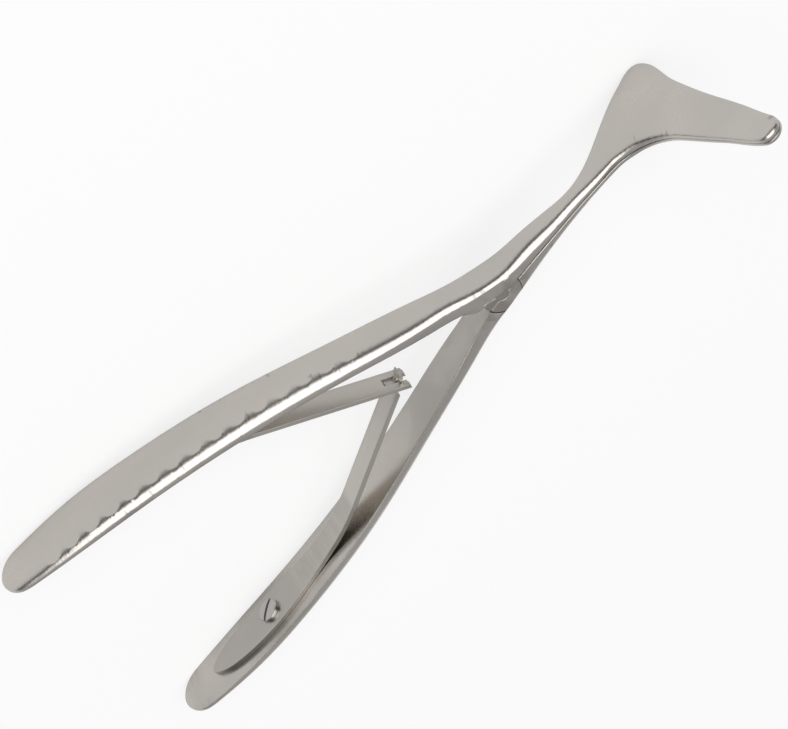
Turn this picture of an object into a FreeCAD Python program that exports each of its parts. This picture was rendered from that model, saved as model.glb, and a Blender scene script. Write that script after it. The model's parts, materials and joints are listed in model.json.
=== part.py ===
"""Bivalve speculum of the nasal kind, laid down on its side, in millimetres.

The two forged arms do not cross: each keeps its handle and its blade on its own side of
the middle plane and both turn on one rivet, so squeezing the handles spreads the blades.
Two leaf springs, screwed to the handles, hook into each other and push the handles apart.

While it is modelled, X runs along the instrument to the blades, Y is the way the upper arm
lies from the middle plane, Z is the rivet's axis and the rivet's centre is the origin.
The last step lays the whole instrument down on the plane Z = 0.
"""
import FreeCAD, Part
import math
import os

from FreeCAD import Placement, Rotation, Vector

# Driving dimensions

SIZES = {
    # handle, measured along its flat inner face from the joint outwards
    "handle_reach": 89.3,
    "handle_angle": 20.83,
    "handle_straight": 30.3,
    "handle_bend_radius": 196.7,
    "handle_lean": 0.1,
    "end_length": 5.4,
    "end_width": 9.4,
    "end_thickness": 1.8,
    "end_land": 0.4,
    "palm_width": 11.0,
    "palm_thickness": 2.7,
    "palm_land": 0.5,
    "grip_width": 11.0,
    "grip_thickness": 3.05,
    "grip_land": 0.55,
    "middle_width": 10.0,
    "middle_thickness": 3.2,
    "middle_land": 0.65,
    "shank_width": 8.5,
    "shank_thickness": 3.05,
    "shank_land": 0.72,
    "waist_width": 6.95,
    "waist_thickness": 3.15,
    "waist_land": 1.4,
    # thumb flutes on the back of the handle
    "flute_first": 84.4,
    "flute_pitch": 4.16,
    "flute_count": 15,
    "flute_radius": 5.0,
    "flute_depth": 0.36,
    "flute_crown_radius": 22.0,
    "flute_shift": 0.7,
    # joint
    "joint_width": 6.2,
    "joint_corner": 0.6,
    "joint_bend_radius": 25.0,
    "joint_thickness": 3.35,
    "joint_land": 2.05,
    "joint_root_thickness": 3.25,
    "joint_root_land": 1.6,
    "joint_front_width": 6.1,
    "joint_front_thickness": 3.1,
    "joint_front_land": 1.65,
    "joint_front_drop": 0.2,
    "ear_radius": 3.6,
    "ear_clearance": 0.1,
    "cheek_span": 6.0,
    "tongue_radius": 3.0,
    "web_angle": 8.0,
    "tongue_thickness": 2.2,
    "side_clearance": 0.08,
    "pin_radius": 1.0,
    "pin_clearance": 0.03,
    "pin_head_radius": 1.15,
    "pin_head_depth": 0.35,
    "mating_gap": 0.2,
    # neck
    "neck_start": 8.0,
    "neck_start_width": 5.52,
    "neck_start_thickness": 2.7,
    "neck_start_land": 0.9,
    "neck_start_drop": 0.95,
    "neck_middle_width": 4.75,
    "neck_middle_thickness": 2.0,
    "neck_middle_land": 0.46,
    "neck_middle_drop": 1.62,
    "neck_waist": 19.0,
    "neck_waist_width": 3.8,
    "neck_waist_thickness": 1.62,
    "neck_waist_land": 0.3,
    "neck_waist_drop": 2.25,
    "neck_end_width": 5.2,
    "neck_end_thickness": 1.5,
    "neck_end_land": 0.29,
    "neck_end_drop": 3.6,
    # blade, in plan
    "bend_start": 28.0,
    "bend_drop": 1.6,
    "bend_radius": 13.6,
    "blade_angle": 53.5,
    "blade_straight": 17.15,
    "flare_width": 8.0,
    "flare_bulge": 0.55,
    "heel_corner_x": 40.15,
    "heel_corner_drop": 17.8,
    "heel_radius": 2.8,
    "edge_hollow": 0.85,
    "tip_width": 4.95,
    # blade, its shell
    "blade_root_height": 1.6,
    "blade_heel_height": 1.75,
    "blade_bend_height": 1.6,
    "blade_tip_height": 1.35,
    "blade_land": 0.4,
    "blade_plumpness": 0.8,
    "blade_wall": 1.0,
    "blade_rim": 1.5,
    # leaf springs
    "leaf_thickness": 0.8,
    "leaf_seat_gap": 0.03,
    "leaf_base_reach": 87.1,
    "leaf_base_width": 7.2,
    "leaf_base_length": 19.0,
    "leaf_neck_start": 33.0,
    "leaf_width": 4.65,
    "leaf_bend_radius": 45.0,
    "leaf_rise_angle": 32.0,
    "leaf_lean": 1.1,
    "leaf_crossing": 23.1,
    "fork_reach": 1.8,
    "fork_root": 2.0,
    "hook_neck_width": 1.3,
    "hook_side_clearance": 0.25,
    "hook_shoulder": 1.0,
    "hook_head_width": 2.5,
    "hook_head_length": 0.8,
    # spring screws
    "screw_place": 72.0,
    "screw_head_radius": 2.1,
    "screw_head_height": 0.85,
    "screw_head_dome": 0.25,
    "screw_shank_radius": 0.9,
    "screw_bite": 1.6,
    "screw_clearance": 0.05,
    "screw_seat_gap": 0.03,
    "leaf_hole_clearance": 0.1,
    "screw_slot_width": 0.55,
    "screw_slot_depth": 0.5,
    "screw_slot_turn": 43.0,
}

doc = FreeCAD.newDocument("bivalve_speculum")
sheet = doc.addObject("Spreadsheet::Sheet", "sizes")
for row, (alias, value) in enumerate(SIZES.items(), start=1):
    sheet.set(f"A{row}", alias)
    sheet.set(f"B{row}", str(value))
    sheet.setAlias(f"B{row}", alias)
doc.recompute()


def size(alias):
    """A driving dimension as the sheet holds it."""
    return float(sheet.get(alias))


UP = Vector(0, 1, 0)
MATING_HEIGHT = size("mating_gap") / 2
LEAF_TOP = size("leaf_seat_gap") + size("leaf_thickness") + size("screw_seat_gap")


# The flat inner face of the upper arm, seen from the side


def along(angle):
    """The direction from the joint to the handle's end where the face has this slope."""
    return Vector(-math.cos(angle), math.sin(angle), 0)


def outward(angle):
    """The direction square to the inner face, away from the middle plane."""
    return Vector(math.sin(angle), math.cos(angle), 0)


def inner_face(reach):
    """Point and slope of the handle's inner face at a distance from the joint's corner."""
    slope = math.radians(size("handle_angle"))
    corner = Vector(-size("joint_corner"), MATING_HEIGHT, 0)
    straight = size("handle_straight")
    if reach <= straight:
        return corner + along(slope) * reach, slope
    radius = size("handle_bend_radius")
    turned = slope - (reach - straight) / radius
    centre = corner + along(slope) * straight - outward(slope) * radius
    return centre + outward(turned) * radius, turned


def joint_face(part):
    """Point and slope on the round that joins the mating plane (0) to the handle (1)."""
    slope = math.radians(size("handle_angle"))
    radius = size("joint_bend_radius")
    corner = Vector(-size("joint_corner"), MATING_HEIGHT, 0)
    start = corner + Vector(radius * math.tan(slope / 2), 0, 0)
    turned = slope * part
    return start + UP * radius - outward(turned) * radius, turned


# Cross-sections of an arm


def section(middle, across, up, width, land, back, skew=1.0, plumpness=1.0):
    """A D-shaped outline: flat face, a narrow upright land each side and a rounded back.

    across points to the near side. A skew under 1 moves the highest point that way, and a
    plumpness under 1 makes the back flatter with rounder shoulders than half an ellipse.
    """
    half = width / 2
    points = round_back(middle, across, up, width, land, back, skew, plumpness)
    near_foot = middle + across * half
    far_foot = middle - across * half
    edges = [
        Part.makeLine(far_foot, near_foot),
        Part.makeLine(near_foot, points[0]),
        smooth_curve(points),
        Part.makeLine(points[-1], far_foot),
    ]
    return Part.Wire(edges)


def round_back(middle, across, up, width, land, back, skew, plumpness):
    """Points on the rounded back from the near land to the far one."""
    half = width / 2
    steps = 8
    points = []
    for step in range(steps + 1):
        part = step / steps
        lift = max(math.sin(math.pi * part**skew), 0.0) ** plumpness
        points.append(middle + across * (half * math.cos(math.pi * part)) + up * (land + back * lift))
    return points


def smooth_curve(points):
    """An even spline through points, so that neighbouring sections match span by span."""
    curve = Part.BSplineCurve()
    curve.interpolate(Points=points, Parameters=[float(index) for index in range(len(points))])
    return curve.toShape()


NEAR = Vector(0, 0, 1)
ROUND_STEPS = (32, 56, 76, 86)


PLACES = [("end", 1.0), ("palm", 0.88), ("grip", 0.73), ("middle", 0.52), ("shank", 0.32), ("waist", 0.14)]


def handle_section(part, width, thickness, land, beyond=0.0):
    """A cross-section square to the handle, which leans to the near side towards its end."""
    point, slope = inner_face(size("handle_reach") * part + beyond)
    middle = point + NEAR * (size("handle_lean") * part**2)
    return section(middle, NEAR, outward(slope), width, land, thickness - land)


def plain_section(name, part):
    """The handle's cross-section at one of its named places."""
    return handle_section(part, size(name + "_width"), size(name + "_thickness"), size(name + "_land"))


def handle_sections():
    """From the rounded end to the joint."""
    land = size("end_land")
    rounds = []
    for degrees in ROUND_STEPS:
        turn = math.radians(degrees)
        width = size("end_width") * math.cos(turn)
        thickness = land + (size("end_thickness") - land) * math.cos(turn)
        rounds.append(handle_section(1.0, width, thickness, land, size("end_length") * math.sin(turn)))
    return rounds[::-1] + [plain_section(name, part) for name, part in PLACES]


def joint_sections():
    """Over the rivet, where the sides stand upright so that ears and arms are flush."""
    width = size("joint_width")
    root = size("joint_root_thickness")
    root_land = size("joint_root_land")
    full = size("joint_thickness")
    full_land = size("joint_land")
    stations = [
        (1.55, width, root, root_land, 0.0),
        (1.0, width, (root + full) / 2, (root_land + full_land) / 2, 0.0),
        (0.5, width, full, full_land, 0.0),
        (0.1, size("joint_front_width"), size("joint_front_thickness"), size("joint_front_land"), size("joint_front_drop")),
    ]
    sections = []
    for part, width, thickness, land, drop in stations:
        point, slope = joint_face(min(part, 1.0))
        beyond = max(part - 1.0, 0.0) * size("ear_radius") * 2
        middle = point + along(slope) * beyond - NEAR * drop
        sections.append(section(middle, NEAR, outward(slope), width, land, thickness - land))
    return sections


def plan_point(x, z):
    """A point of the mating plane's side of the upper arm."""
    return Vector(x, MATING_HEIGHT, z)


def plan_section(near, far, land, height, skew, plumpness, inset=0.0, sink=0.0):
    """A cross-section standing on the mating plane between two plan points."""
    across = (near - far).normalize()
    middle = (near + far) * 0.5 - UP * sink
    width = near.distanceToPoint(far) - 2 * inset
    return section(middle, across, UP, width, land + sink, height - land, skew, plumpness)


def neck_sections():
    """The slim neck, which slips to the far side on its way to the blade."""
    start = size("neck_start")
    waist = size("neck_waist")
    stations = [
        (start, "neck_start", 1.0),
        ((start + waist) / 2, "neck_middle", 0.98),
        (waist, "neck_waist", 0.97),
        ((waist + size("bend_start")) / 2, "neck_end", 0.96),
    ]
    sections = []
    for x, name, skew in stations:
        half = size(name + "_width") / 2
        drop = size(name + "_drop")
        near = plan_point(x, half - drop)
        far = plan_point(x, -half - drop)
        sections.append(plan_section(near, far, size(name + "_land"), size(name + "_thickness"), skew, 1.0))
    return sections


# The blade in plan: rays fan out from the centre of its inside bend


def fan_centre():
    return plan_point(size("bend_start"), size("bend_radius") - size("bend_drop"))


def ray(degrees):
    """From the fan's centre across the blade."""
    angle = math.radians(degrees)
    return Vector(math.sin(angle), 0, -math.cos(angle))


def blade_edge_start():
    return fan_centre() + ray(size("blade_angle")) * size("bend_radius")


def blade_direction():
    angle = math.radians(size("blade_angle"))
    return Vector(math.cos(angle), 0, math.sin(angle))


def far_edge():
    """The far edge's three corners: where the flare starts, the heel's sharp corner, the tip."""
    flare = fan_centre() + ray(0) * (size("bend_radius") + size("flare_width"))
    heel = plan_point(size("heel_corner_x"), -size("heel_corner_drop"))
    tip = blade_edge_start() + blade_direction() * size("blade_straight") + ray(size("blade_angle")) * size("tip_width")
    return flare, heel, tip


def cross_line(origin, direction, first, second):
    """Distance along a plan ray to the line through two points, and the share of the way between them."""
    run = second - first
    offset = first - origin
    scale = direction.x * run.z - direction.z * run.x
    distance = (offset.x * run.z - offset.z * run.x) / scale
    share = (offset.x * direction.z - offset.z * direction.x) / scale
    return distance, share


def far_distance(origin, direction):
    """Distance along a plan ray to the far edge, whose heel is rounded."""
    flare, heel, tip = far_edge()
    into = (heel - flare).normalize()
    onward = (tip - heel).normalize()
    turn = math.acos(into.dot(onward))
    radius = size("heel_radius")
    setback = radius * math.tan(turn / 2)
    start = heel - into * setback
    end = heel + onward * setback
    first_distance, first_share = cross_line(origin, direction, flare, start)
    if first_distance > 0 and first_share <= 1:
        return first_distance + 4 * size("flare_bulge") * first_share * (1 - first_share)
    second_distance, second_share = cross_line(origin, direction, end, tip)
    if second_share >= 0:
        return second_distance - 6.75 * size("edge_hollow") * second_share * max(1 - second_share, 0) ** 2
    bisector = (onward - into).normalize()
    centre = heel + bisector * (radius / math.cos(turn / 2))
    toward = centre - origin
    middle = toward.dot(direction)
    return middle + math.sqrt(max(radius**2 - toward.dot(toward) + middle**2, 0))


def blade_stations():
    """Near point, far point, height and skew of each blade section, from the root to the tip."""
    radius = size("bend_radius")
    angle = size("blade_angle")
    centre = fan_centre()
    root = size("blade_root_height")
    heel = size("blade_heel_height")
    bend = size("blade_bend_height")
    tip = size("blade_tip_height")
    fan = [
        (0.0, root, 0.95),
        (0.13, (root + heel) / 2, 0.91),
        (0.24, heel, 0.88),
        (0.31, heel, 0.86),
        (0.36, heel, 0.86),
        (0.41, heel, 0.86),
        (0.5, heel, 0.87),
        (0.68, (heel + bend) / 2, 0.88),
        (0.84, bend, 0.89),
        (1.0, bend, 0.9),
    ]
    stations = []
    for share, height, skew in fan:
        direction = ray(angle * share)
        near = centre + direction * radius
        far = centre + direction * far_distance(centre, direction)
        stations.append((near, far, height, skew))
    start = blade_edge_start()
    across = ray(angle)
    for share in (0.33, 0.67, 1.0):
        near = start + blade_direction() * (size("blade_straight") * share)
        far = near + across * (far_distance(near, across) if share < 1 else size("tip_width"))
        stations.append((near, far, bend + (tip - bend) * share, 0.9 + 0.1 * share))
    return stations


def blade_sections():
    land = size("blade_land")
    plump = size("blade_plumpness")
    sections = []
    for index, (near, far, height, skew) in enumerate(blade_stations()):
        fullness = plump if index > 1 else (1 + plump) / 2
        sections.append(plan_section(near, far, land, height, skew, fullness))
    near, far, height, skew = blade_stations()[-1]
    middle = (near + far) * 0.5
    half = size("tip_width") / 2
    for degrees in ROUND_STEPS:
        turn = math.radians(degrees)
        centre = middle + blade_direction() * (half * math.sin(turn))
        reach = (near - middle) * math.cos(turn)
        shrink = math.cos(turn) ** 0.5
        sections.append(plan_section(centre + reach, centre - reach, land * shrink, height * shrink, skew, plump))
    return sections


def blade_hollow():
    """The shallow trough inside the blade, which runs out towards the neck and the tip."""
    wall = size("blade_wall")
    rim = size("blade_rim")
    sink = size("mating_gap") * 2
    stations = blade_stations()[3:-1]
    sections = []
    for index, (near, far, height, skew) in enumerate(stations):
        depth = height - wall
        if index in (0, len(stations) - 1):
            depth *= 0.4
        land = depth * 0.3
        sections.append(plan_section(near, far, land, depth, skew, 1.0, inset=rim, sink=sink))
    return Part.makeLoft(sections, True, False, False)


def flute_cutters():
    """One shallow lens ring for each thumb flute, square to the handle."""
    cutters = []
    crown = size("flute_crown_radius")
    radius = size("flute_radius")
    depth = size("flute_depth")
    half = size("flute_pitch") * 0.49
    lip = radius - math.sqrt(radius**2 - half**2)
    for index in range(int(size("flute_count"))):
        reach = size("flute_first") - index * size("flute_pitch")
        outer = back_crest(reach + half)
        inner = back_crest(reach - half)
        away = (outer - inner).normalize()
        up = Vector(away.y, -away.x, 0)
        bottom = (outer + inner) * 0.5 - up * depth - NEAR * size("flute_shift")
        axis = bottom - up * crown
        left = bottom - away * half + up * lip
        right = bottom + away * half + up * lip
        top = up * (2 * depth)
        edges = [
            Part.Arc(left, bottom, right).toShape(),
            Part.makeLine(right, right + top),
            Part.makeLine(right + top, left + top),
            Part.makeLine(left + top, left),
        ]
        face = Part.Face(Part.Wire(edges))
        face.rotate(axis, away, -25)
        cutters.append(face.revolve(axis, away, 50))
    return cutters


def back_crest(reach):
    """The top of the handle's rounded back, between the sections that set it."""
    part = reach / size("handle_reach")
    point, slope = inner_face(reach)
    for (outer_name, outer), (inner_name, inner) in zip(PLACES, PLACES[1:]):
        if part >= inner:
            share = (part - inner) / (outer - inner)
            height = size(inner_name + "_thickness") * (1 - share) + size(outer_name + "_thickness") * share
            return point + outward(slope) * height
    return point + outward(slope) * size("waist_thickness")


def shape_object(name, shape):
    """A document object that holds a shape worked out here from the sheet."""
    item = doc.addObject("Part::Feature", name)
    item.Shape = shape
    return item


def drum(name, radius, low, high):
    """A cylinder about the rivet's axis; radius and ends are expressions on the sheet."""
    item = doc.addObject("Part::Cylinder", name)
    item.setExpression("Radius", radius)
    item.setExpression("Height", f"({high}) - ({low})")
    item.setExpression("Placement.Base.z", low)
    return item


def boolean(kind, name, base, *tools):
    """A fuse, cut or common of document objects."""
    if kind == "Part::MultiFuse":
        item = doc.addObject(kind, name)
        item.Shapes = [base, *tools]
        return item
    tool = tools[0] if len(tools) == 1 else boolean("Part::MultiFuse", name + "_tools", *tools)
    item = doc.addObject(kind, name)
    item.Base = base
    item.Tool = tool
    return item


def mirrored(name, source):
    """The same thing for the lower side of the instrument."""
    item = doc.addObject("Part::Mirroring", name)
    item.Source = source
    item.Normal = UP
    return item


# The two arm blanks, alike but mirrored

sections = handle_sections() + joint_sections() + neck_sections() + blade_sections()
arm = Part.makeLoft(sections, True, False, False)
arm = arm.cut(blade_hollow()).cut(flute_cutters())
upper_blank = shape_object("upper_blank", arm)
lower_blank = mirrored("lower_blank", upper_blank)

# The joint: two round cheeks of the upper arm hold a round tongue of the lower arm

HALF_CHEEK = "sizes.cheek_span / 2"
HALF_TONGUE = "sizes.tongue_thickness / 2"
BEYOND = "sizes.joint_width"


def web_face():
    """The sliver that joins the cheeks to the handle's inner face, seen along the rivet."""
    angle = math.pi - math.radians(size("web_angle"))
    toe = size("ear_radius") * 1.4
    foot, slope = inner_face(size("ear_radius") * 2.5)
    points = [
        Vector(0, 0, 0),
        Vector(toe * math.cos(angle), toe * math.sin(angle), 0),
        foot + outward(slope) * (size("joint_root_land") / 2),
        Vector(0, size("ear_radius") * 0.7, 0),
    ]
    return Part.Face(Part.makePolygon(points + points[:1]))


def lower_outline():
    """The lower arm's outline around the rivet, which the cheeks may fill but not pass."""
    outline = Part.makeLoft([plain_section(*PLACES[-1]), *joint_sections(), neck_sections()[0]], True, True)
    return outline.mirror(Vector(0, 0, 0), UP)


cheek_disc = drum("cheek_disc", "sizes.ear_radius", "-" + HALF_CHEEK, HALF_CHEEK)
cheek_middle = doc.addObject("Part::Box", "cheek_middle")
cheek_middle.setExpression("Length", "3 * sizes.ear_radius")
cheek_middle.setExpression("Width", "sizes.ear_radius * 0.6")
cheek_middle.setExpression("Height", "2 * sizes.joint_width")
cheek_middle.setExpression("Placement.Base.x", "-1.5 * sizes.ear_radius")
cheek_middle.setExpression("Placement.Base.y", "-sizes.mating_gap")
cheek_middle.setExpression("Placement.Base.z", "-sizes.joint_width")
cheek_room = boolean("Part::MultiFuse", "cheek_room", cheek_middle, shape_object("lower_outline", lower_outline()))
cheek_round = boolean("Part::Common", "cheek_round", cheek_disc, cheek_room)
cheek_web_face = shape_object("cheek_web_face", web_face())
cheek_web = doc.addObject("Part::Extrusion", "cheek_web")
cheek_web.Base = cheek_web_face
cheek_web.DirMode = "Custom"
cheek_web.Dir = NEAR
cheek_web.setExpression("LengthFwd", HALF_CHEEK)
cheek_web.setExpression("LengthRev", HALF_CHEEK)
cheek_web.Solid = True
tongue = drum("tongue", "sizes.tongue_radius", "-" + HALF_TONGUE, HALF_TONGUE)


def slot_face():
    """What lies under the cheeks' middle, where the lower arm runs between them, seen along the rivet."""
    angle = math.pi - math.radians(size("web_angle") + 1)
    reach = size("ear_radius") * 1.7
    depth = size("joint_thickness") * 1.5
    points = [
        Vector(0, 0, 0),
        Vector(reach * math.cos(angle), reach * math.sin(angle), 0),
        Vector(-reach, -depth, 0),
        Vector(reach, -depth, 0),
        Vector(reach, 0, 0),
    ]
    return Part.Face(Part.makePolygon(points + points[:1]))


tongue_radius = "sizes.tongue_radius + sizes.ear_clearance"
tongue_side = HALF_TONGUE + " + sizes.side_clearance"
tongue_room = drum("tongue_room", tongue_radius, f"-({tongue_side})", tongue_side)
cheek_radius = "sizes.ear_radius + sizes.ear_clearance"
slot_room = doc.addObject("Part::Extrusion", "slot_room")
slot_room.Base = shape_object("slot_room_face", slot_face())
slot_room.DirMode = "Custom"
slot_room.Dir = NEAR
slot_room.setExpression("LengthFwd", tongue_side)
slot_room.setExpression("LengthRev", tongue_side)
slot_room.Solid = True
near_room = drum("near_room", cheek_radius, HALF_TONGUE, BEYOND)
far_room = drum("far_room", cheek_radius, "-" + BEYOND, "-" + HALF_TONGUE)


def pin_outline(slack):
    """Half of the rivet's outline, from its axis: a countersunk head at each end."""
    radius = size("pin_radius") + slack
    head = size("pin_head_radius") + slack
    half = size("cheek_span") / 2
    sink = half - size("pin_head_depth")
    return [(0, -half), (head, -half), (radius, -sink), (radius, sink), (head, half), (0, half)]


def turned_outline(points):
    """A solid turned about the rivet's axis from a half outline."""
    wire = Part.makePolygon([Vector(radius, 0, height) for radius, height in points + points[:1]])
    return Part.Face(wire).revolve(Vector(0, 0, 0), NEAR, 360)


def face_place(reach, height):
    """A place over the handle's inner face with Z square to the face and X towards the blades."""
    point, slope = inner_face(reach)
    inward = outward(slope) * -1
    return Placement(point + inward * height, Rotation(along(slope) * -1, Vector(), inward, "ZXY"))


def other_side(place):
    """The same place over the lower arm's inner face."""
    base = Vector(place.Base.x, -place.Base.y, place.Base.z)
    direction = place.Rotation.multVec(Vector(1, 0, 0))
    inward = place.Rotation.multVec(NEAR)
    direction = Vector(direction.x, -direction.y, direction.z)
    return Placement(base, Rotation(direction, Vector(), Vector(inward.x, -inward.y, inward.z), "ZXY"))


pin_hole = shape_object("pin_hole", turned_outline(pin_outline(size("pin_clearance"))))
upper_screw_hole = doc.addObject("Part::Cylinder", "upper_screw_hole")
upper_screw_hole.setExpression("Radius", "sizes.screw_shank_radius + sizes.screw_clearance")
upper_screw_hole.setExpression("Height", "2 * (sizes.screw_bite + sizes.screw_clearance)")
hole_depth = size("screw_bite") + size("screw_clearance")
upper_screw_hole.Placement = face_place(size("screw_place"), -hole_depth)
lower_screw_hole = mirrored("lower_screw_hole", upper_screw_hole)

cheeks = boolean("Part::MultiFuse", "cheeks", cheek_round, cheek_web)
upper_whole = boolean("Part::MultiFuse", "upper_whole", upper_blank, cheeks)
upper_arm = boolean("Part::Cut", "upper_arm", upper_whole, tongue_room, slot_room, pin_hole, upper_screw_hole)
lower_recessed = boolean("Part::Cut", "lower_recessed", lower_blank, near_room, far_room)
lower_whole = boolean("Part::MultiFuse", "lower_whole", lower_recessed, tongue)
lower_arm = boolean("Part::Cut", "lower_arm", lower_whole, pin_hole, lower_screw_hole)

# The leaf springs


def leaf_course():
    """The leaf's middle line: where it leaves the handle and where its bend ends."""
    radius = size("handle_bend_radius") - size("leaf_seat_gap") - size("leaf_thickness") / 2
    centre = inner_face(size("handle_straight") + 0.001)[0]
    slope = math.radians(size("handle_angle"))
    centre = centre - outward(slope) * size("handle_bend_radius")
    bend = size("leaf_bend_radius")
    rise = math.radians(size("leaf_rise_angle"))
    crossing = Vector(-size("leaf_crossing"), 0, 0)
    low, high = 0.0, slope
    for _ in range(60):
        leaving = (low + high) / 2
        bend_centre = centre + outward(leaving) * (radius - bend)
        miss = (crossing - bend_centre).dot(outward(rise)) - bend
        low, high = (leaving, high) if miss > 0 else (low, leaving)
    return centre, radius, leaving, bend_centre, bend, rise, crossing


def leaf_profile(beyond):
    """The bent strip seen along the rivet, ending a distance beyond the crossing."""
    centre, radius, leaving, bend_centre, bend, rise, crossing = leaf_course()
    slope = math.radians(size("handle_angle"))
    tip = slope - (size("leaf_base_reach") - size("handle_straight")) / size("handle_bend_radius")
    half = size("leaf_thickness") / 2
    end = crossing - along(rise) * beyond
    sides = []
    for offset in (half, -half):
        base = [centre + outward(turn) * (radius + offset) for turn in (tip, (tip + leaving) / 2, leaving)]
        curve = [bend_centre + outward(turn) * (bend + offset) for turn in (leaving, (leaving + rise) / 2, rise)]
        sides.append((base, curve, end + outward(rise) * offset))
    edges = []
    for base, curve, last in sides:
        edges.append(Part.Arc(*base).toShape())
        edges.append(Part.Arc(*curve).toShape())
        edges.append(Part.makeLine(curve[2], last))
    edges.append(Part.makeLine(sides[0][2], sides[1][2]))
    edges.append(Part.makeLine(sides[0][0][0], sides[1][0][0]))
    return Part.Face(Part.Wire(Part.__sortEdges__(edges)))


def leaf_x(distance):
    """Where a point at a distance from the leaf's tip lies along the instrument."""
    centre, radius, leaving, bend_centre, bend, rise, crossing = leaf_course()
    slope = math.radians(size("handle_angle"))
    tip = slope - (size("leaf_base_reach") - size("handle_straight")) / size("handle_bend_radius")
    base_length = (leaving - tip) * radius
    if distance <= base_length:
        return (centre + outward(tip + distance / radius) * radius).x
    turned = leaving + (distance - base_length) / bend
    return (bend_centre + outward(min(turned, rise)) * bend).x


def leaf_outline(ends):
    """The leaf seen from above: a leaf-shaped base, a parallel strip and its worked end.

    ends lists the near side's corners beyond the strip, measured from the crossing. The strip
    leans to the near side on its way from the handle to the crossing.
    """
    centre, radius, leaving, *_ = leaf_course()
    start = (centre + outward(leaving) * radius).x
    crossing = -size("leaf_crossing")

    def place(x, z):
        return Vector(x, 0, z + size("leaf_lean") * max(x - start, 0) / (crossing - start))

    base = size("leaf_base_length")
    widest = size("leaf_base_width") / 2
    strip = size("leaf_width") / 2
    neck = size("leaf_neck_start")
    shares = [(0.065, 0.37), (0.26, 0.75), (0.6, 0.98), (1.0, 0.95)]
    near = [(leaf_x(base * part), widest * width) for part, width in shares]
    near.append((leaf_x((base + neck) / 2), widest * 0.35 + strip * 0.62))
    near.append((leaf_x(neck), strip))
    far = [(x, -z) for x, z in reversed(near)]
    curve = Part.BSplineCurve()
    curve.interpolate(Points=[place(x, z) for x, z in far + [(leaf_x(0), 0)] + near])
    rise = math.cos(math.radians(size("leaf_rise_angle")))
    corners = [(crossing + part * rise, width) for part, width in ends]
    corners = corners + [(x, -z) for x, z in reversed(corners)]
    edges = [curve.toShape()]
    for first, second in zip([near[-1], *corners], [*corners, far[0]]):
        edges.append(Part.makeLine(place(*first), place(*second)))
    return Part.Face(Part.Wire(Part.__sortEdges__(edges)))


def leaf(name, ends, beyond):
    """A leaf spring over the upper handle, with the hole for its screw."""
    strip = doc.addObject("Part::Extrusion", name + "_strip")
    strip.Base = shape_object(name + "_profile", leaf_profile(beyond))
    strip.DirMode = "Custom"
    strip.Dir = NEAR
    strip.Solid = True
    strip.setExpression("LengthFwd", "sizes.leaf_base_width")
    strip.setExpression("LengthRev", "sizes.leaf_base_width")
    plan = doc.addObject("Part::Extrusion", name + "_plan")
    plan.Base = shape_object(name + "_outline", leaf_outline(ends))
    plan.DirMode = "Custom"
    plan.Dir = UP
    plan.Solid = True
    plan.setExpression("LengthFwd", "sizes.handle_reach")
    plan.setExpression("LengthRev", "sizes.handle_reach")
    cut_out = boolean("Part::Common", name + "_blank", strip, plan)
    hole = doc.addObject("Part::Cylinder", name + "_hole")
    hole.setExpression("Radius", "sizes.screw_shank_radius + sizes.leaf_hole_clearance")
    hole.setExpression("Height", "4 * sizes.leaf_thickness")
    hole.Placement = face_place(size("screw_place"), -size("leaf_thickness"))
    return boolean("Part::Cut", name, cut_out, hole)


slot = size("hook_neck_width") / 2 + size("hook_side_clearance")
prong = size("fork_reach")
strip_half = size("leaf_width") / 2
fork_ends = [(prong, strip_half), (prong, slot), (-size("fork_root"), slot)]
hook_neck = size("hook_neck_width") / 2
shoulder = size("hook_shoulder")
head_half = size("hook_head_width") / 2
head_end = shoulder + size("hook_head_length")
hook_ends = [(-shoulder, strip_half), (-shoulder, hook_neck), (shoulder, hook_neck)]
hook_ends = hook_ends + [(shoulder, head_half), (head_end, head_half)]
upper_leaf = leaf("upper_leaf_spring", fork_ends, prong + strip_half)
hook_leaf = leaf("hook_leaf", hook_ends, head_end + strip_half)
lower_leaf = mirrored("lower_leaf_spring", hook_leaf)

# The rivet and the two screws


def sketch_loop(sketch, points):
    """A closed run of lines in a sketch."""
    corners = [Vector(x, y, 0) for x, y in points]
    for first, second in zip(corners, corners[1:] + corners[:1]):
        sketch.addGeometry(Part.LineSegment(first, second))


def own_plane(body, role):
    return next(item for item in body.Origin.OriginFeatures if item.Role == role)


def turned_body(name, points):
    """A body turned about its Z axis from a half outline of radius and height."""
    body = doc.addObject("PartDesign::Body", name)
    sketch = body.newObject("Sketcher::SketchObject", name + "_half")
    sketch.AttachmentSupport = [(own_plane(body, "XZ_Plane"), "")]
    sketch.MapMode = "FlatFace"
    sketch_loop(sketch, points)
    turn = body.newObject("PartDesign::Revolution", name + "_turned")
    turn.Profile = sketch
    turn.ReferenceAxis = (sketch, ["V_Axis"])
    turn.Angle = 360
    doc.recompute()
    return body


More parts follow.
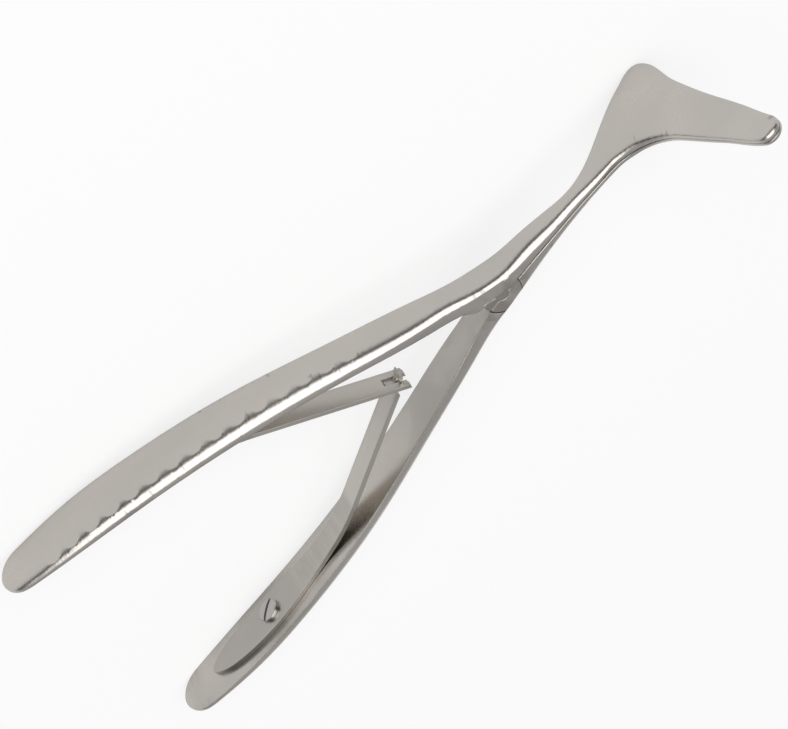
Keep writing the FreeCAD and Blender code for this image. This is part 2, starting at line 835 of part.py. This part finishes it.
def screw(name, slot_turn, place):
    """A slotted screw with a domed head that sits on the leaf and bites into the handle."""
    radius = size("screw_head_radius")
    height = size("screw_head_height")
    rim = height - size("screw_head_dome")
    shank = size("screw_shank_radius")
    length = LEAF_TOP + size("screw_bite")
    dome = [(radius, 0), (radius, rim * 0.8), (radius * 0.95, rim)]
    dome += [(radius * 0.7, height - size("screw_head_dome") * 0.45), (radius * 0.35, height), (0, height)]
    points = [(0, -length), (shank * 0.8, -length), (shank, -length + shank * 0.2), (shank, 0)] + dome
    body = turned_body(name, points)
    slot_sketch = body.newObject("Sketcher::SketchObject", name + "_slot_outline")
    slot_sketch.AttachmentSupport = [(own_plane(body, "XY_Plane"), "")]
    slot_sketch.MapMode = "FlatFace"
    slot_sketch.AttachmentOffset = Placement(Vector(0, 0, height), Rotation(NEAR, slot_turn))
    half = size("screw_slot_width") / 2
    reach = radius * 1.5
    sketch_loop(slot_sketch, [(-reach, -half), (reach, -half), (reach, half), (-reach, half)])
    whole = body.Shape.Volume
    pocket = body.newObject("PartDesign::Pocket", name + "_slot")
    pocket.Profile = slot_sketch
    pocket.setExpression("Length", "sizes.screw_slot_depth")
    doc.recompute()
    if body.Shape.Volume > whole * 0.999:
        pocket.Reversed = True
        doc.recompute()
    body.Placement = place
    return body


rivet = turned_body("hinge_rivet", pin_outline(0.0))
seat = face_place(size("screw_place"), LEAF_TOP)
upper_screw = screw("upper_spring_screw", -size("screw_slot_turn"), seat)
lower_screw = screw("lower_spring_screw", size("screw_slot_turn"), other_side(seat))

doc.recompute()
pieces = [upper_arm, lower_arm, rivet, upper_leaf, lower_leaf, upper_screw, lower_screw]

# Laying the instrument down on the far edges of its blades' heels and of its handles' ends


def lowest(points, turn):
    """The lowest point in front of the rivet and behind it after a turn about the Y axis."""
    heights = [(point.x > 0, point.z * math.cos(turn) - point.x * math.sin(turn)) for point in points]
    return min(height for front, height in heights if front), min(height for front, height in heights if not front)


outline = upper_arm.Shape.tessellate(0.02)[0]
low, high = -0.3, 0.3
for _ in range(40):
    tilt = (low + high) / 2
    front, behind = lowest(outline, tilt)
    low, high = (low, tilt) if front < behind else (tilt, high)
lay = Placement(Vector(), Rotation(UP, math.degrees(tilt)))
reach = [lay.multVec(point).x for point in outline]
lay.Base = Vector(-(min(reach) + max(reach)) / 2, 0, -min(lowest(outline, tilt)))
for item in pieces:
    item.Placement = lay.multiply(item.Placement)
doc.recompute()

for item in doc.Objects:
    if "Invalid" in item.State or "Error" in item.State:
        raise RuntimeError(f"{item.Name} did not compute: {item.State}")
os.makedirs("parts", exist_ok=True)
for item in pieces:
    if item.Shape.isNull() or not item.Shape.isValid() or len(item.Shape.Solids) != 1:
        raise RuntimeError(f"{item.Name} is not one sound solid")
    item.Label = item.Name
    item.Shape.exportStep(f"parts/{item.Name}.step")
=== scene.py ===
"""Bivalve speculum of the nasal kind in satin steel, laid down on its side on a white floor."""
import json
import logging
import math
from dataclasses import dataclass
from enum import Enum

import bmesh
import bpy
from mathutils import Matrix, Vector


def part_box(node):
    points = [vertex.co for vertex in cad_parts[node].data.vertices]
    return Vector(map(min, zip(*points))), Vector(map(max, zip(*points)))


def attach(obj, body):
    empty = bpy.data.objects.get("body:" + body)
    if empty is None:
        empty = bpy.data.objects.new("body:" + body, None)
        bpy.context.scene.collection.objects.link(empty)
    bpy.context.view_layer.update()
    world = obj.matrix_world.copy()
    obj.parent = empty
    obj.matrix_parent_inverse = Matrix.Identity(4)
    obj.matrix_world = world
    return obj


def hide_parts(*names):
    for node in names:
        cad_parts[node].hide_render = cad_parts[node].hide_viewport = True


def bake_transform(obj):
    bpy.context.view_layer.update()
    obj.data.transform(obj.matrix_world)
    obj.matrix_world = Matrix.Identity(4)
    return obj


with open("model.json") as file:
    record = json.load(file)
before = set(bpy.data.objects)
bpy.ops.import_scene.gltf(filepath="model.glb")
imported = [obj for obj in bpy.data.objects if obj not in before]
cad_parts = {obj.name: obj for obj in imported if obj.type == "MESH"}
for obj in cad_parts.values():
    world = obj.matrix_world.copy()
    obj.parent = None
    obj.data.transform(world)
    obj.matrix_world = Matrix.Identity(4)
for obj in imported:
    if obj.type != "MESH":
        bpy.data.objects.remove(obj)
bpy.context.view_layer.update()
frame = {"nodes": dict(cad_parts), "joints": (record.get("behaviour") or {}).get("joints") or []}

MILLIMETRE = 0.001
WELD_DISTANCE = 0.0005 * MILLIMETRE
WHITE = (1.0, 1.0, 1.0, 1.0)
LOG = logging.getLogger("speculum")


class Slot(Enum):
    """The record's material slots."""

    FORGED = "forged_steel"
    SPRING = "spring_steel"
    SCREW = "screw_steel"


class NodeKind(Enum):
    """The shader nodes that the materials and the world use."""

    COORDINATES = "ShaderNodeTexCoord"
    MAPPING = "ShaderNodeMapping"
    NOISE = "ShaderNodeTexNoise"
    RAMP = "ShaderNodeValToRGB"
    RANGE = "ShaderNodeMapRange"
    BUMP = "ShaderNodeBump"
    BEVEL = "ShaderNodeBevel"
    MATHS = "ShaderNodeMath"
    GEOMETRY = "ShaderNodeNewGeometry"
    MIX = "ShaderNodeMix"
    AXES = "ShaderNodeSeparateXYZ"
    RAYS = "ShaderNodeLightPath"
    DIFFUSE = "ShaderNodeBsdfDiffuse"
    GLOW = "ShaderNodeEmission"
    BACKGROUND = "ShaderNodeBackground"
    ADD_SHADERS = "ShaderNodeAddShader"
    MIX_SHADERS = "ShaderNodeMixShader"
    MATERIAL_OUTPUT = "ShaderNodeOutputMaterial"
    WORLD_OUTPUT = "ShaderNodeOutputWorld"


@dataclass(frozen=True)
class Span:
    """How a stretch of one value becomes a stretch of another.

    Attributes:
        start: the value that gives low.
        stop: the value that gives high.
        low: the result at the start.
        high: the result at the stop.
        smooth: whether the result eases in and out.
        clamp: whether values beyond the stretch are held at its ends.
    """

    start: float = 0.0
    stop: float = 1.0
    low: float = 0.0
    high: float = 1.0
    smooth: bool = False
    clamp: bool = True


class Graph:
    """The node tree of a material or a world."""

    def __init__(self, owner: bpy.types.Material | bpy.types.World) -> None:
        """Turns the owner's nodes on.

        Args:
            owner: the material or world.
        """
        owner.use_nodes = True
        self.nodes = owner.node_tree.nodes
        self.links = owner.node_tree.links

    def add(self, kind: NodeKind) -> bpy.types.Node:
        """Adds a node.

        Args:
            kind: which node.

        Returns:
            The new node.
        """
        return self.nodes.new(kind.value)

    def join(self, source: bpy.types.NodeSocket, target: bpy.types.NodeSocket) -> None:
        """Links an output to an input.

        Args:
            source: the output.
            target: the input.
        """
        self.links.new(source, target)

    def remap(self, source: bpy.types.NodeSocket, span: Span) -> bpy.types.NodeSocket:
        """Adds a map range node.

        Args:
            source: the value that it takes.
            span: how it changes the value.

        Returns:
            The changed value.
        """
        node = self.add(NodeKind.RANGE)
        node.clamp = span.clamp
        node.interpolation_type = "SMOOTHSTEP" if span.smooth else "LINEAR"
        node.inputs["From Min"].default_value = span.start
        node.inputs["From Max"].default_value = span.stop
        node.inputs["To Min"].default_value = span.low
        node.inputs["To Max"].default_value = span.high
        self.join(source, node.inputs["Value"])
        return node.outputs["Result"]

    def maths(
        self, operation: str, *values: bpy.types.NodeSocket | float
    ) -> bpy.types.NodeSocket:
        """Adds a maths node.

        Args:
            operation: what it does.
            values: what it takes, in order, as outputs of other nodes or as numbers.

        Returns:
            Its result.
        """
        node = self.add(NodeKind.MATHS)
        node.operation = operation
        for socket, value in zip(node.inputs, values):
            if isinstance(value, float):
                socket.default_value = value
            else:
                self.join(value, socket)
        return node.outputs["Value"]


@dataclass(frozen=True)
class Streak:
    """A noise pattern drawn out along the instrument, as grinding and brushing leave it.

    Attributes:
        fineness: waves per metre across the streaks.
        stretch: how many times longer than wide a streak is.
        detail: octaves of noise.
    """

    fineness: float
    stretch: float
    detail: float = 3.0

    def add(self, graph: Graph) -> bpy.types.NodeSocket:
        """Adds the pattern to a material.

        Args:
            graph: the material's nodes.

        Returns:
            The pattern's grey value, from 0 to 1.
        """
        coordinates = graph.add(NodeKind.COORDINATES)
        mapping = graph.add(NodeKind.MAPPING)
        lengthwise = self.fineness / self.stretch
        mapping.inputs["Scale"].default_value = (lengthwise, self.fineness, self.fineness)
        noise = graph.add(NodeKind.NOISE)
        noise.inputs["Scale"].default_value = 1.0
        noise.inputs["Detail"].default_value = self.detail
        graph.join(coordinates.outputs["Object"], mapping.inputs["Vector"])
        graph.join(mapping.outputs["Vector"], noise.inputs["Vector"])
        return noise.outputs["Fac"]


@dataclass(frozen=True)
class SteelFinish:
    """Ground and satin-finished stainless steel.

    Attributes:
        name: the material's name.
        light: colour of the brighter patches.
        dark: colour of the duller patches.
        roughness: lowest and highest roughness over the surface.
        grain: height of the finest streaks, in metres.
        edge: radius of the worn edges, in metres.
        streak: the pattern of the brushing.
        ridge_shade_strength: how strongly painted shade darkens the sharp ridges.
        patches: the slow drift between the two colours.
        patch_limits: grey values of the drift at which each colour is pure.
        ridges: lowest and highest pointiness over which painted shade darkens a ridge.
        ridge_shade_share: brightness of a ridge under full painted shade, as a share of the dark
            colour.
        brushing_share: weight of the brushing beside the patches in the roughness.
        drift_limits: lowest and highest sum of the two, as the roughness reads it.
        edge_samples: rays that the rounding of an edge takes.
    """

    name: str
    light: tuple[float, float, float]
    dark: tuple[float, float, float]
    roughness: tuple[float, float]
    grain: float
    edge: float
    streak: Streak
    # Painted shade on the sharp ridges: its strength, the pointiness that it covers and its
    # depth.
    ridge_shade_strength: float = 0.25
    patches: Streak = Streak(90.0, 1.6, 2.0)
    patch_limits: tuple[float, float] = (0.3, 0.7)
    ridges: tuple[float, float] = (0.53, 0.59)
    ridge_shade_share: float = 0.3
    brushing_share: float = 0.5
    drift_limits: tuple[float, float] = (0.35, 1.05)
    edge_samples: int = 8

    def material(self) -> bpy.types.Material:
        """Makes the material.

        Returns:
            A node material for this finish.
        """
        material = bpy.data.materials.new(self.name)
        graph = Graph(material)
        shader = graph.nodes["Principled BSDF"]
        shader.inputs["Metallic"].default_value = 1.0
        patches = self.patches.add(graph)
        brushing = self.streak.add(graph)
        graph.join(self._colour(graph, patches), shader.inputs["Base Color"])
        graph.join(self._roughness(graph, patches, brushing), shader.inputs["Roughness"])
        graph.join(self._relief(graph, brushing), shader.inputs["Normal"])
        return material

    def _colour(self, graph: Graph, patches: bpy.types.NodeSocket) -> bpy.types.NodeSocket:
        """Lets the colour drift between the two steels and paints shade onto the sharp ridges.
        """
        ramp = graph.add(NodeKind.RAMP)
        stops = ramp.color_ramp.elements
        for stop, place, colour in zip(stops, self.patch_limits, (self.dark, self.light)):
            stop.position = place
            stop.color = (*colour, 1.0)
        # Painted shade: pointiness finds the sharp ridges of the flutes and darkens their
        # colour, in place of the shading that the light would give the fluting.
        form = graph.add(NodeKind.GEOMETRY)
        start, stop = self.ridges
        ridge = graph.remap(form.outputs["Pointiness"], Span(start, stop, high=self.ridge_shade_strength))
        ridge_shaded = graph.add(NodeKind.MIX)
        ridge_shaded.data_type = "RGBA"
        ridge_shaded.inputs["B"].default_value = (*(shade * self.ridge_shade_share for shade in self.dark), 1.0)
        graph.join(patches, ramp.inputs["Fac"])
        graph.join(ridge, ridge_shaded.inputs["Factor"])
        graph.join(ramp.outputs["Color"], ridge_shaded.inputs["A"])
        return ridge_shaded.outputs["Result"]

    def _roughness(
        self, graph: Graph, patches: bpy.types.NodeSocket, brushing: bpy.types.NodeSocket
    ) -> bpy.types.NodeSocket:
        """Lets the roughness follow the patches and the brushing together."""
        drift = graph.maths("MULTIPLY_ADD", brushing, self.brushing_share, patches)
        return graph.remap(drift, Span(*self.drift_limits, *self.roughness))

    def _relief(self, graph: Graph, brushing: bpy.types.NodeSocket) -> bpy.types.NodeSocket:
        """Adds the brushing's grain to softened edges."""
        softened = graph.add(NodeKind.BEVEL)
        softened.samples = self.edge_samples
        softened.inputs["Radius"].default_value = self.edge
        bump = graph.add(NodeKind.BUMP)
        bump.inputs["Strength"].default_value = 1.0
        bump.inputs["Distance"].default_value = self.grain
        graph.join(softened.outputs["Normal"], bump.inputs["Normal"])
        graph.join(brushing, bump.inputs["Height"])
        return bump.outputs["Normal"]


FORGED_FINISH = SteelFinish(
    name="satin_forged_steel",
    light=(0.69, 0.65, 0.607),
    dark=(0.62, 0.588, 0.55),
    roughness=(0.2, 0.29),
    grain=0.0035 * MILLIMETRE,
    edge=0.3 * MILLIMETRE,
    # Painted shade on the sharp ridges of the forged arms' flutes.
    ridge_shade_strength=0.4,
    streak=Streak(9000.0, 10.0),
)
SPRING_FINISH = SteelFinish(
    name="rolled_spring_steel",
    light=(0.7, 0.662, 0.615),
    dark=(0.63, 0.597, 0.557),
    roughness=(0.26, 0.36),
    grain=0.004 * MILLIMETRE,
    edge=0.08 * MILLIMETRE,
    streak=Streak(8000.0, 14.0),
)
SCREW_FINISH = SteelFinish(
    name="turned_screw_steel",
    light=(0.66, 0.645, 0.62),
    dark=(0.58, 0.565, 0.54),
    roughness=(0.16, 0.26),
    grain=0.003 * MILLIMETRE,
    edge=0.1 * MILLIMETRE,
    streak=Streak(7000.0, 3.0),
)
_DRESSED: dict[str, bpy.types.Material] = {}


def dressed(finish: SteelFinish) -> bpy.types.Material:
    """Gives a finish's one shared material.

    Args:
        finish: the finish wanted.

    Returns:
        Its material, made the first time it is asked for.
    """
    if finish.name not in _DRESSED:
        _DRESSED[finish.name] = finish.material()
    return _DRESSED[finish.name]


@dataclass
class SteelPiece:
    """A rigid piece of the instrument, made from its solid's facets with smooth shading.

    Attributes:
        node: the solid that it stands for.
        body: the moving body that it rides on.
        finish: what it is made of.
        slot: the record's slot for that finish; not used.
        crease: edges that turn by more than this stay crisp, in degrees.
    """

    node: str
    body: str
    finish: SteelFinish
    slot: Slot
    crease: float = 24.0

    def build(self) -> bpy.types.Object:
        """Makes the piece, dresses it and hangs it on its body.

        Returns:
            The finished object.
        """
        piece = self._mesh_object()
        piece.data.materials.clear()
        piece.data.materials.append(dressed(self.finish))
        self.attach(piece)
        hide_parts(self.node)
        LOG.info("%s: %d faces", piece.name, len(piece.data.polygons))
        return piece

    def attach(self, piece: bpy.types.Object) -> None:
        """Lets the piece ride on its body.

        Args:
            piece: the finished object.
        """
        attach(piece, self.body)

    def shape(self, mesh: bmesh.types.BMesh) -> None:
        """Changes the welded facets before they are shaded; a rigid piece needs nothing.

        Args:
            mesh: the welded facets.
        """

    def _mesh_object(self) -> bpy.types.Object:
        """Welds a copy of the solid's facets and marks its crisp edges."""
        source = frame["nodes"][self.node]
        mesh = bmesh.new()
        mesh.from_mesh(source.data)
        bmesh.ops.remove_doubles(mesh, verts=mesh.verts, dist=WELD_DISTANCE)
        bmesh.ops.dissolve_degenerate(mesh, dist=WELD_DISTANCE, edges=mesh.edges)
        self.shape(mesh)
        limit = math.radians(self.crease)
        for face in mesh.faces:
            face.smooth = True
        for edge in mesh.edges:
            edge.smooth = edge.is_manifold and edge.calc_face_angle(0.0) < limit
        data = bpy.data.meshes.new(self.node + "_form")
        mesh.to_mesh(data)
        mesh.free()
        piece = bpy.data.objects.new(self.node + "_form", data)
        bpy.context.scene.collection.objects.link(piece)
        return piece


@dataclass
class CheekedArm(SteelPiece):
    """The arm whose round cheeks hold the tongue, with each cheek's corner at the handle filled.

    Attributes:
        radius: radius of the filled corner, just inside the cheek's.
        inner: level of its inner face over the joint's middle.
        outer: level of its outer face.
        start: where it starts, as an angle about the rivet from the handles' side, in degrees.
        end: where it ends, past the other arm's inner face.
        segments: divisions of the whole circle that it is cut from.
    """

    radius: float = 3.5 * MILLIMETRE
    inner: float = 1.25 * MILLIMETRE
    outer: float = 2.97 * MILLIMETRE
    start: float = -14.0
    end: float = 26.0
    segments: int = 96

    def shape(self, mesh: bmesh.types.BMesh) -> None:
        """Adds the two corners.

        Args:
            mesh: the welded facets of the arm.
        """
        hinge = next(joint for joint in frame["joints"] if joint["name"] == "arm_hinge")
        up = Vector((0.0, 0.0, 1.0))
        upright = Vector(hinge["axis"]).rotation_difference(up).inverted()
        place = Matrix.Translation(Vector(hinge["pos_m"])) @ upright.to_matrix().to_4x4()
        for side in (1.0, -1.0):
            corner = self._corner()
            bmesh.ops.scale(corner, verts=corner.verts, vec=(1.0, 1.0, side))
            bmesh.ops.transform(corner, verts=corner.verts, matrix=place)
            bmesh.ops.triangulate(corner, faces=corner.faces)
            bmesh.ops.recalc_face_normals(corner, faces=corner.faces)
            data = bpy.data.meshes.new("cheek_corner")
            corner.to_mesh(data)
            corner.free()
            mesh.from_mesh(data)
            bpy.data.meshes.remove(data)

    def _corner(self) -> bmesh.types.BMesh:
        """Cuts a slice from a round plate about the rivet, as it is on the near side."""
        corner = bmesh.new()
        bmesh.ops.create_circle(
            corner, cap_ends=True, radius=self.radius, segments=self.segments
        )
        for turn, sense in ((self.start, 1.0), (self.end, -1.0)):
            angle = math.pi + math.radians(turn)
            normal = Vector((-math.sin(angle), math.cos(angle), 0.0)) * sense
            bmesh.ops.bisect_plane(
                corner,
                geom=[*corner.verts, *corner.edges, *corner.faces],
                plane_co=(0.0, 0.0, 0.0),
                plane_no=normal,
                clear_inner=True,
            )
        grown = bmesh.ops.extrude_face_region(corner, geom=corner.faces[:])["geom"]
        raised = [item for item in grown if isinstance(item, bmesh.types.BMVert)]
        thickness = self.outer - self.inner
        bmesh.ops.translate(corner, verts=raised, vec=(0.0, 0.0, thickness))
        bmesh.ops.translate(corner, verts=corner.verts, vec=(0.0, 0.0, self.inner))
        return corner


@dataclass
class LeafSpring(SteelPiece):
    """A leaf spring that bends between its handle and the hooked tips.

    Attributes:
        tip_body: the body of its free end; not used.
        leaves: where it leaves its handle, as a distance ahead of its own pointed end.
        settles: where its bend ends, the same way; not used.
        rungs: how many times the free length is divided.
    """

    tip_body: str = ""
    leaves: float = 22.0 * MILLIMETRE
    settles: float = 42.0 * MILLIMETRE
    rungs: int = 36

    def shape(self, mesh: bmesh.types.BMesh) -> None:
        """Divides the strip crosswise along its free length.

        Args:
            mesh: the welded facets of the leaf.
        """
        low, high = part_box(self.node)
        step = (high.x - low.x - self.leaves) / self.rungs
        for rung in range(self.rungs):
            place = low.x + self.leaves + rung * step
            bmesh.ops.bisect_plane(
                mesh,
                geom=[*mesh.verts, *mesh.edges, *mesh.faces],
                plane_co=(place, 0.0, 0.0),
                plane_no=(1.0, 0.0, 0.0),
            )

    def attach(self, piece: bpy.types.Object) -> None:
        """Bakes the piece's placement into its facets; it is hung on no body and not bent.

        Args:
            piece: the finished object.
        """
        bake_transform(piece)


@dataclass
class Instrument:
    """The whole speculum: two arms on a rivet, two leaf springs and their screws.

    Attributes:
        lower: the lower arm's body, which also carries the rivet.
        upper: the upper arm's body.
        lower_leaf: the body of the lower leaf's free end.
        upper_leaf: the body of the upper leaf's free end.
    """

    lower: str = "lower_arm_body"
    upper: str = "upper_arm_body"
    lower_leaf: str = "lower_leaf_body"
    upper_leaf: str = "upper_leaf_body"

    def pieces(self) -> list[SteelPiece]:
        """Lists the pieces.

        Returns:
            Every piece, root body first.
        """
        forged = (FORGED_FINISH, Slot.FORGED)
        screw = (SCREW_FINISH, Slot.SCREW)
        spring = (SPRING_FINISH, Slot.SPRING)
        return [
            SteelPiece("lower_arm", self.lower, *forged),
            SteelPiece("hinge_rivet", self.lower, *forged),
            SteelPiece("lower_spring_screw", self.lower, *screw),
            CheekedArm("upper_arm", self.upper, *forged),
            SteelPiece("upper_spring_screw", self.upper, *screw),
            LeafSpring("lower_leaf_spring", self.lower, *spring, tip_body=self.lower_leaf),
            LeafSpring("upper_leaf_spring", self.upper, *spring, tip_body=self.upper_leaf),
        ]

    def build(self) -> None:
        """Makes every piece."""
        for piece in self.pieces():
            piece.build()


@dataclass(frozen=True)
class Softbox:
    """A rectangular area lamp that looks at the rivet.

    Attributes:
        name: the lamp's name.
        towards: direction of the lamp from the rivet.
        distance: how far away it is, in metres.
        width: its level side, in metres.
        height: its other side, in metres.
        brightness: how bright its face is, where 1 is white.
    """

    name: str
    towards: tuple[float, float, float]
    distance: float
    width: float
    height: float
    brightness: float

    def build(self, rivet: Vector) -> None:
        """Adds the lamp.

        Args:
            rivet: the point that it looks at.
        """
        lamp = bpy.data.lights.new(self.name, "AREA")
        lamp.shape = "RECTANGLE"
        lamp.size = self.width
        lamp.size_y = self.height
        lamp.energy = self.brightness * math.pi * self.width * self.height
        holder = bpy.data.objects.new(self.name, lamp)
        away = Vector(self.towards).normalized()
        holder.location = rivet + away * self.distance
        holder.rotation_euler = away.to_track_quat("Z", "Y").to_euler()
        bpy.context.scene.collection.objects.link(holder)


@dataclass
class Studio:
    """White floor, a softbox and a world with a dark low side.

    Attributes:
        floor_size: the floor's side, in metres.
        floor_colour: grey of the floor, which the lamp lights and the shadow darkens.
        seen_colour: the same grey as the camera sees it, with a fainter shadow.
        floor_glow: the white that the camera sees on top of it.
        mirrored_glow: the white that the steel sees on top of it.
        sky: brightness of the room.
        low_side: brightness of its dark side, low behind the upper arm.
        above: upward share of a direction over which the dark side ends at its top.
        sweep: the same at its foot, where a bright band meets the floor.
        behind: sideways share of a direction over which the dark side begins.
        rivet: where the lamps look.
        lamps: the softboxes.
    """

    floor_size: float = 4.0
    floor_colour: float = 0.6
    seen_colour: float = 0.3
    floor_glow: float = 0.72
    mirrored_glow: float = 0.22
    sky: float = 0.42
    low_side: float = 0.07
    above: Span = Span(0.42, 0.62, smooth=True)
    sweep: Span = Span(0.2, 0.08, high=1.3, smooth=True)
    behind: Span = Span(0.25, -0.25, smooth=True)
    rivet: Vector = Vector((0.0198, 0.0, 0.0127))
    lamps: tuple[Softbox, ...] = (
        Softbox("key_softbox", (0.06, 0.44, 0.89), 0.9, 1.1, 1.2, 1.5),
    )

    def build(self) -> None:
        """Makes the stage."""
        self._floor()
        self._world()
        for lamp in self.lamps:
            lamp.build(self.rivet)

    def _floor(self) -> None:
        """A floor that shows white and keeps the shadow."""
        mesh = bmesh.new()
        bmesh.ops.create_grid(mesh, x_segments=1, y_segments=1, size=self.floor_size / 2)
        data = bpy.data.meshes.new("floor")
        mesh.to_mesh(data)
        mesh.free()
        floor = bpy.data.objects.new("floor", data)
        bpy.context.scene.collection.objects.link(floor)
        floor.data.materials.append(self._floor_material())

    def _floor_material(self) -> bpy.types.Material:
        """Makes the floor's material.

        Returns:
            Diffuse grey, with a glow that only the camera and mirror-like surfaces see.
        """
        material = bpy.data.materials.new("white_floor")
        graph = Graph(material)
        graph.nodes.clear()
        output = graph.add(NodeKind.MATERIAL_OUTPUT)
        diffuse = graph.add(NodeKind.DIFFUSE)
        glow = graph.add(NodeKind.GLOW)
        glow.inputs["Color"].default_value = WHITE
        both = graph.add(NodeKind.ADD_SHADERS)
        rays = graph.add(NodeKind.RAYS).outputs
        seen = rays["Is Camera Ray"]
        grey = graph.remap(seen, Span(low=self.floor_colour, high=self.seen_colour))
        mirrored = graph.maths("MAXIMUM", rays["Is Glossy Ray"], rays["Is Transmission Ray"])
        faint = graph.maths("MULTIPLY", mirrored, self.mirrored_glow)
        strength = graph.maths("MULTIPLY_ADD", seen, self.floor_glow, faint)
        graph.join(grey, diffuse.inputs["Color"])
        graph.join(strength, glow.inputs["Strength"])
        graph.join(diffuse.outputs["BSDF"], both.inputs[0])
        graph.join(glow.outputs["Emission"], both.inputs[1])
        graph.join(both.outputs["Shader"], output.inputs["Surface"])
        return material

    def _world(self) -> None:
        """An even grey room with a dark side low behind the upper arm; the camera sees white."""
        world = bpy.data.worlds.new("studio_world")
        bpy.context.scene.world = world
        graph = Graph(world)
        graph.nodes.clear()
        output = graph.add(NodeKind.WORLD_OUTPUT)
        room = graph.add(NodeKind.BACKGROUND)
        white = graph.add(NodeKind.BACKGROUND)
        white.inputs["Color"].default_value = WHITE
        direction = graph.add(NodeKind.COORDINATES)
        axes = graph.add(NodeKind.AXES)
        rays = graph.add(NodeKind.RAYS)
        pick = graph.add(NodeKind.MIX_SHADERS)
        graph.join(direction.outputs["Generated"], axes.inputs["Vector"])
        top = graph.remap(axes.outputs["Z"], self.above)
        foot = graph.remap(axes.outputs["Z"], self.sweep)
        front = graph.remap(axes.outputs["Y"], self.behind)
        lit = graph.maths("MAXIMUM", graph.maths("MAXIMUM", top, foot), front)
        brightness = graph.remap(lit, Span(low=self.low_side, high=self.sky, clamp=False))
        graph.join(brightness, room.inputs["Color"])
        graph.join(rays.outputs["Is Camera Ray"], pick.inputs["Fac"])
        graph.join(room.outputs["Background"], pick.inputs[1])
        graph.join(white.outputs["Background"], pick.inputs[2])
        graph.join(pick.outputs["Shader"], output.inputs["Surface"])


@dataclass(frozen=True)
class PhotoCamera:
    """The camera at the photograph's viewing angle.

    Attributes:
        azimuth: side that it looks from, 0 looking along +Y, in degrees.
        elevation: height above the horizon, in degrees.
        roll: turn about its own axis, in degrees.
        distance: distance to the point that it aims at, in metres.
        aim: that point.
        lens: focal length, in millimetres.
        sensor: the sensor's width, in millimetres.
        reach: nearest and furthest distance that it sees, in metres.
    """

    azimuth: float = 168.2299
    elevation: float = 48.1655
    roll: float = -142.9516
    distance: float = 0.7
    aim: Vector = Vector((-0.00111, 0.00375, 0.01275))
    lens: float = 195.137
    sensor: float = 36.0
    reach: tuple[float, float] = (0.01, 10.0)

    def build(self) -> bpy.types.Object:
        """Makes the camera and sets it as the scene's.

        Returns:
            The camera object.
        """
        data = bpy.data.cameras.new("photo_camera")
        data.lens = self.lens
        data.sensor_width = self.sensor
        data.clip_start, data.clip_end = self.reach
        camera = bpy.data.objects.new("photo_camera", data)
        turn, rise = math.radians(self.azimuth), math.radians(self.elevation)
        level = math.cos(rise)
        back = Vector((math.sin(turn) * level, -math.cos(turn) * level, math.sin(rise)))
        upright = back.to_track_quat("Z", "Y").to_matrix().to_4x4()
        rolled = Matrix.Rotation(math.radians(-self.roll), 4, "Z")
        place = Matrix.Translation(self.aim + back * self.distance)
        camera.matrix_world = place @ upright @ rolled
        bpy.context.scene.collection.objects.link(camera)
        bpy.context.scene.camera = camera
        return camera


def main() -> None:
    """Builds the camera, the instrument and the studio."""
    logging.basicConfig(level=logging.INFO, format="%(message)s")
    bpy.context.scene.view_settings.view_transform = "Standard"
    PhotoCamera().build()
    Instrument().build()
    Studio().build()


if __name__ == "__main__":
    main()
